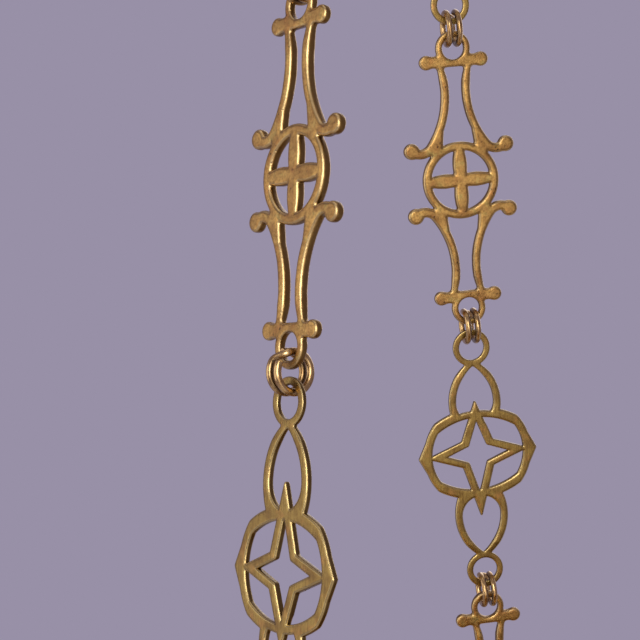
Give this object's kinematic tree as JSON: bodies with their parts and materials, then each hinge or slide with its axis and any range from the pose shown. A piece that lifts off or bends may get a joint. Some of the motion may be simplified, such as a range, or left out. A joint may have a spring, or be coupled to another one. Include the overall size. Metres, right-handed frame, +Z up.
{
  "type": "hanging oil lamp",
  "caption": "Hanging brass oil lamp: a bowl with a glass oil cup and wick, hung from a swivelling crown on chains of pierced links joined by split rings.",
  "frame": {"origin": "centre of the hole in the hanger eye", "axes": "+Z up along the lamp's axis, +Y along the hanger eye's hole, -Y towards the front chain"},
  "size_m": [0.3352, 0.3352, 0.8893],
  "materials": {
    "cast_brass": "aged cast brass, softened edges, brown in the corners",
    "sawn_brass": "sawn and filed sheet brass, dull",
    "bronze_wire": "drawn bronze wire, rubbed bright",
    "spun_brass": "spun sheet brass, aged",
    "turned_brass": "turned and bent brass, aged",
    "clear_glass": "clear pressed glass",
    "cotton": "twisted cotton"
  },
  "bodies": {
    "hanger": {"hanger_eye": "turned_brass", "swivel_washer": "turned_brass", "swivel_nut": "turned_brass"},
    "crown": {"crown_canopy": "spun_brass", "crown_rivets": "turned_brass", "crown_lug_front": "turned_brass", "crown_lug_right": "turned_brass", "crown_lug_left": "turned_brass"},
    "bowl": {"bowl_wall": "spun_brass", "bowl_dish": "spun_brass", "belly_bead": "turned_brass", "rim_ring": "spun_brass", "bowl_rivets": "turned_brass", "bottom_finial": "turned_brass", "finial_nut": "turned_brass", "bowl_lug_front": "turned_brass", "bowl_lug_right": "turned_brass", "bowl_lug_left": "turned_brass"},
    "cover": {"cover_plate": "spun_brass", "cover_lip": "turned_brass", "cup_collar": "turned_brass"},
    "glass": {"oil_glass": "clear_glass"},
    "wick_holder": {"wick_bridge": "turned_brass"},
    "wick": {"cotton_wick": "cotton"},
    "front_ring_1": {"front_ring_1": "bronze_wire"},
    "front_cross_1": {"front_cross_1": "cast_brass"},
    "front_star_2": {"front_star_2": "sawn_brass"},
    "front_cross_3": {"front_cross_3": "cast_brass"},
    "front_star_4": {"front_star_4": "sawn_brass"},
    "front_cross_5": {"front_cross_5": "cast_brass"},
    "front_ring_2": {"front_ring_2": "bronze_wire"},
    "front_ring_3": {"front_ring_3": "bronze_wire"},
    "front_ring_4": {"front_ring_4": "bronze_wire"},
    "front_ring_5": {"front_ring_5": "bronze_wire"},
    "front_ring_6": {"front_ring_6": "bronze_wire"},
    "right_ring_1": {"right_ring_1": "bronze_wire"},
    "right_cross_1": {"right_cross_1": "cast_brass"},
    "right_star_2": {"right_star_2": "sawn_brass"},
    "right_cross_3": {"right_cross_3": "cast_brass"},
    "right_star_4": {"right_star_4": "sawn_brass"},
    "right_cross_5": {"right_cross_5": "cast_brass"},
    "right_ring_2": {"right_ring_2": "bronze_wire"},
    "right_ring_3": {"right_ring_3": "bronze_wire"},
    "right_ring_4": {"right_ring_4": "bronze_wire"},
    "right_ring_5": {"right_ring_5": "bronze_wire"},
    "right_ring_6": {"right_ring_6": "bronze_wire"},
    "left_ring_1": {"left_ring_1": "bronze_wire"},
    "left_cross_1": {"left_cross_1": "cast_brass"},
    "left_star_2": {"left_star_2": "sawn_brass"},
    "left_cross_3": {"left_cross_3": "cast_brass"},
    "left_star_4": {"left_star_4": "sawn_brass"},
    "left_cross_5": {"left_cross_5": "cast_brass"},
    "left_ring_2": {"left_ring_2": "bronze_wire"},
    "left_ring_3": {"left_ring_3": "bronze_wire"},
    "left_ring_4": {"left_ring_4": "bronze_wire"},
    "left_ring_5": {"left_ring_5": "bronze_wire"},
    "left_ring_6": {"left_ring_6": "bronze_wire"}
  },
  "joints": [
    {"name": "crown_swivel", "type": "hinge", "parent": "hanger", "child": "crown", "pos_m": [0, 0, 0], "axis": [0, 0, 1], "continuous": true},
    {"name": "bowl_turn", "type": "hinge", "parent": "crown", "child": "bowl", "pos_m": [0, 0, 0], "axis": [0, 0, 1], "range_deg": [-5, 5]},
    {"name": "front_chain_skew", "type": "hinge", "parent": "crown", "child": "front_ring_1", "pos_m": [0, -0.049, -0.09484], "axis": [0, -0.9861, 0.1662], "range_deg": [-1.3, 1.3]},
    {"name": "front_cross_1_twist", "type": "hinge", "parent": "front_ring_1", "child": "front_cross_1", "pos_m": [0, -0.06088, -0.16534], "axis": [0, -0.1662, -0.9861], "range_deg": [-12, 12]},
    {"name": "front_star_2_twist", "type": "hinge", "parent": "front_ring_1", "child": "front_star_2", "pos_m": [0, -0.08143, -0.28729], "axis": [0, -0.1662, -0.9861], "range_deg": [-12, 12]},
    {"name": "front_cross_3_twist", "type": "hinge", "parent": "front_ring_1", "child": "front_cross_3", "pos_m": [0, -0.101, -0.40342], "axis": [0, -0.1662, -0.9861], "range_deg": [-12, 12]},
    {"name": "front_star_4_twist", "type": "hinge", "parent": "front_ring_1", "child": "front_star_4", "pos_m": [0, -0.12155, -0.52537], "axis": [0, -0.1662, -0.9861], "range_deg": [-12, 12]},
    {"name": "front_cross_5_twist", "type": "hinge", "parent": "front_ring_1", "child": "front_cross_5", "pos_m": [0, -0.14112, -0.6415], "axis": [0, -0.1662, -0.9861], "range_deg": [-12, 12]},
    {"name": "front_ring_2_spin", "type": "hinge", "parent": "front_ring_1", "child": "front_ring_2", "pos_m": [0, -0.07117, -0.22642], "axis": [1, 0, 0], "continuous": true},
    {"name": "front_ring_3_spin", "type": "hinge", "parent": "front_ring_1", "child": "front_ring_3", "pos_m": [0, -0.09071, -0.34234], "axis": [1, 0, 0], "continuous": true},
    {"name": "front_ring_4_spin", "type": "hinge", "parent": "front_ring_1", "child": "front_ring_4", "pos_m": [0, -0.11129, -0.4645], "axis": [1, 0, 0], "continuous": true},
    {"name": "front_ring_5_spin", "type": "hinge", "parent": "front_ring_1", "child": "front_ring_5", "pos_m": [0, -0.13083, -0.58042], "axis": [1, 0, 0], "continuous": true},
    {"name": "front_ring_6_spin", "type": "hinge", "parent": "front_ring_1", "child": "front_ring_6", "pos_m": [0, -0.15141, -0.70258], "axis": [1, 0, 0], "continuous": true},
    {"name": "right_chain_skew", "type": "hinge", "parent": "crown", "child": "right_ring_1", "pos_m": [0.04244, 0.0245, -0.09484], "axis": [0.854, 0.493, 0.1662], "range_deg": [-1.3, 1.3]},
    {"name": "right_cross_1_twist", "type": "hinge", "parent": "right_ring_1", "child": "right_cross_1", "pos_m": [0.05273, 0.03044, -0.16534], "axis": [0.1439, 0.0831, -0.9861], "range_deg": [-12, 12]},
    {"name": "right_star_2_twist", "type": "hinge", "parent": "right_ring_1", "child": "right_star_2", "pos_m": [0.07052, 0.04072, -0.28729], "axis": [0.1439, 0.0831, -0.9861], "range_deg": [-12, 12]},
    {"name": "right_cross_3_twist", "type": "hinge", "parent": "right_ring_1", "child": "right_cross_3", "pos_m": [0.08747, 0.0505, -0.40342], "axis": [0.1439, 0.0831, -0.9861], "range_deg": [-12, 12]},
    {"name": "right_star_4_twist", "type": "hinge", "parent": "right_ring_1", "child": "right_star_4", "pos_m": [0.10526, 0.06078, -0.52537], "axis": [0.1439, 0.0831, -0.9861], "range_deg": [-12, 12]},
    {"name": "right_cross_5_twist", "type": "hinge", "parent": "right_ring_1", "child": "right_cross_5", "pos_m": [0.12221, 0.07056, -0.6415], "axis": [0.1439, 0.0831, -0.9861], "range_deg": [-12, 12]},
    {"name": "right_ring_2_spin", "type": "hinge", "parent": "right_ring_1", "child": "right_ring_2", "pos_m": [0.06164, 0.03559, -0.22642], "axis": [-0.5, 0.866, 0], "continuous": true},
    {"name": "right_ring_3_spin", "type": "hinge", "parent": "right_ring_1", "child": "right_ring_3", "pos_m": [0.07855, 0.04535, -0.34234], "axis": [-0.5, 0.866, 0], "continuous": true},
    {"name": "right_ring_4_spin", "type": "hinge", "parent": "right_ring_1", "child": "right_ring_4", "pos_m": [0.09638, 0.05565, -0.4645], "axis": [-0.5, 0.866, 0], "continuous": true},
    {"name": "right_ring_5_spin", "type": "hinge", "parent": "right_ring_1", "child": "right_ring_5", "pos_m": [0.1133, 0.06541, -0.58042], "axis": [-0.5, 0.866, 0], "continuous": true},
    {"name": "right_ring_6_spin", "type": "hinge", "parent": "right_ring_1", "child": "right_ring_6", "pos_m": [0.13113, 0.0757, -0.70258], "axis": [-0.5, 0.866, 0], "continuous": true},
    {"name": "left_chain_skew", "type": "hinge", "parent": "crown", "child": "left_ring_1", "pos_m": [-0.04244, 0.0245, -0.09484], "axis": [-0.854, 0.493, 0.1662], "range_deg": [-1.3, 1.3]},
    {"name": "left_cross_1_twist", "type": "hinge", "parent": "left_ring_1", "child": "left_cross_1", "pos_m": [-0.05273, 0.03044, -0.16534], "axis": [-0.1439, 0.0831, -0.9861], "range_deg": [-12, 12]},
    {"name": "left_star_2_twist", "type": "hinge", "parent": "left_ring_1", "child": "left_star_2", "pos_m": [-0.06967, 0.04022, -0.28147], "axis": [-0.1439, 0.0831, -0.9861], "range_deg": [-12, 12]},
    {"name": "left_cross_3_twist", "type": "hinge", "parent": "left_ring_1", "child": "left_cross_3", "pos_m": [-0.08747, 0.0505, -0.40342], "axis": [-0.1439, 0.0831, -0.9861], "range_deg": [-12, 12]},
    {"name": "left_star_4_twist", "type": "hinge", "parent": "left_ring_1", "child": "left_star_4", "pos_m": [-0.10442, 0.06028, -0.51955], "axis": [-0.1439, 0.0831, -0.9861], "range_deg": [-12, 12]},
    {"name": "left_cross_5_twist", "type": "hinge", "parent": "left_ring_1", "child": "left_cross_5", "pos_m": [-0.12221, 0.07056, -0.6415], "axis": [-0.1439, 0.0831, -0.9861], "range_deg": [-12, 12]},
    {"name": "left_ring_2_spin", "type": "hinge", "parent": "left_ring_1", "child": "left_ring_2", "pos_m": [-0.06164, 0.03559, -0.22642], "axis": [-0.5, -0.866, 0], "continuous": true},
    {"name": "left_ring_3_spin", "type": "hinge", "parent": "left_ring_1", "child": "left_ring_3", "pos_m": [-0.07855, 0.04535, -0.34234], "axis": [-0.5, -0.866, 0], "continuous": true},
    {"name": "left_ring_4_spin", "type": "hinge", "parent": "left_ring_1", "child": "left_ring_4", "pos_m": [-0.09638, 0.05565, -0.4645], "axis": [-0.5, -0.866, 0], "continuous": true},
    {"name": "left_ring_5_spin", "type": "hinge", "parent": "left_ring_1", "child": "left_ring_5", "pos_m": [-0.1133, 0.06541, -0.58042], "axis": [-0.5, -0.866, 0], "continuous": true},
    {"name": "left_ring_6_spin", "type": "hinge", "parent": "left_ring_1", "child": "left_ring_6", "pos_m": [-0.13113, 0.0757, -0.70258], "axis": [-0.5, -0.866, 0], "continuous": true},
    {"name": "cover_lift", "type": "slide", "parent": "bowl", "child": "cover", "axis": [0, 0, 1], "range_m": [0, 0.06]},
    {"name": "glass_lift", "type": "slide", "parent": "cover", "child": "glass", "axis": [0, 0, 1], "range_m": [0, 0.1]},
    {"name": "wick_holder_lift", "type": "slide", "parent": "glass", "child": "wick_holder", "axis": [0, 0, 1], "range_m": [0, 0.06]},
    {"name": "wick_slide", "type": "slide", "parent": "wick_holder", "child": "wick", "axis": [0, 0, 1], "range_m": [-0.004, 0.008]}
  ],
  "couplings": [
    {"joint": "front_chain_skew", "follows": "bowl_turn", "ratio": 0.24446},
    {"joint": "right_chain_skew", "follows": "bowl_turn", "ratio": 0.24446},
    {"joint": "left_chain_skew", "follows": "bowl_turn", "ratio": 0.24446}
  ]
}
